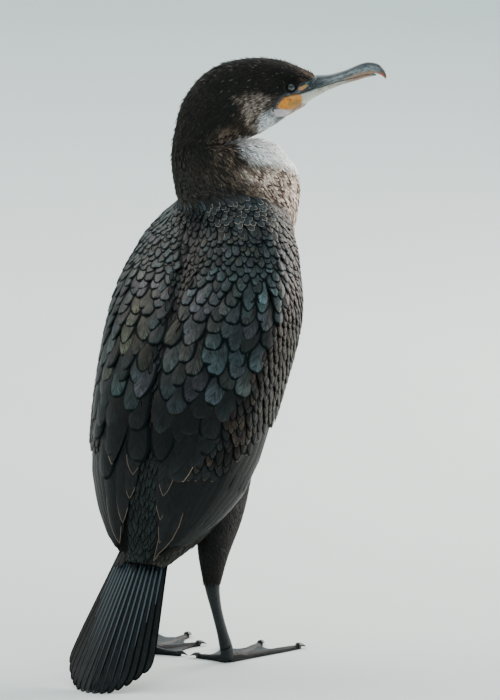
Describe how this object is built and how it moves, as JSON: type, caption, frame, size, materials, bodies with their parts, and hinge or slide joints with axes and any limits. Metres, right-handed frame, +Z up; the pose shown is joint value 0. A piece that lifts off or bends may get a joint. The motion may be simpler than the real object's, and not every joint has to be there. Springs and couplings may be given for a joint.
{
  "type": "cormorant model",
  "caption": "Life-size still model of a young great cormorant, standing upright with folded wings, a stiff fan tail, webbed feet and its hooked bill turned to one side.",
  "frame": {"origin": "on the floor, under the middle of the outline's box", "axes": "+Z up, the breast faces -Y, the bird's right side is -X"},
  "size_m": [0.2425, 0.3481, 0.5978],
  "materials": {
    "dark_plumage": "overlapping feathers, dark brown with a slight green and bronze gloss",
    "mottled_plumage": "short soft feathers, brown mottled with white",
    "horn": "satin horn, darker on the ridge",
    "eye": "wet and clear over a green iris",
    "foot_skin": "scaled satin skin"
  },
  "bodies": {
    "root": {"torso": "dark_plumage", "neck_lower": "mottled_plumage", "neck_upper": "dark_plumage", "head": "dark_plumage", "bill_upper": "horn", "bill_lower": "horn", "eye_left": "eye", "eye_right": "eye", "wing_left": "dark_plumage", "wing_right": "dark_plumage", "tail": "dark_plumage", "thigh_left": "dark_plumage", "thigh_right": "dark_plumage", "shank_left": "foot_skin", "shank_right": "foot_skin", "foot_left": "foot_skin", "foot_right": "foot_skin"}
  },
  "joints": []
}
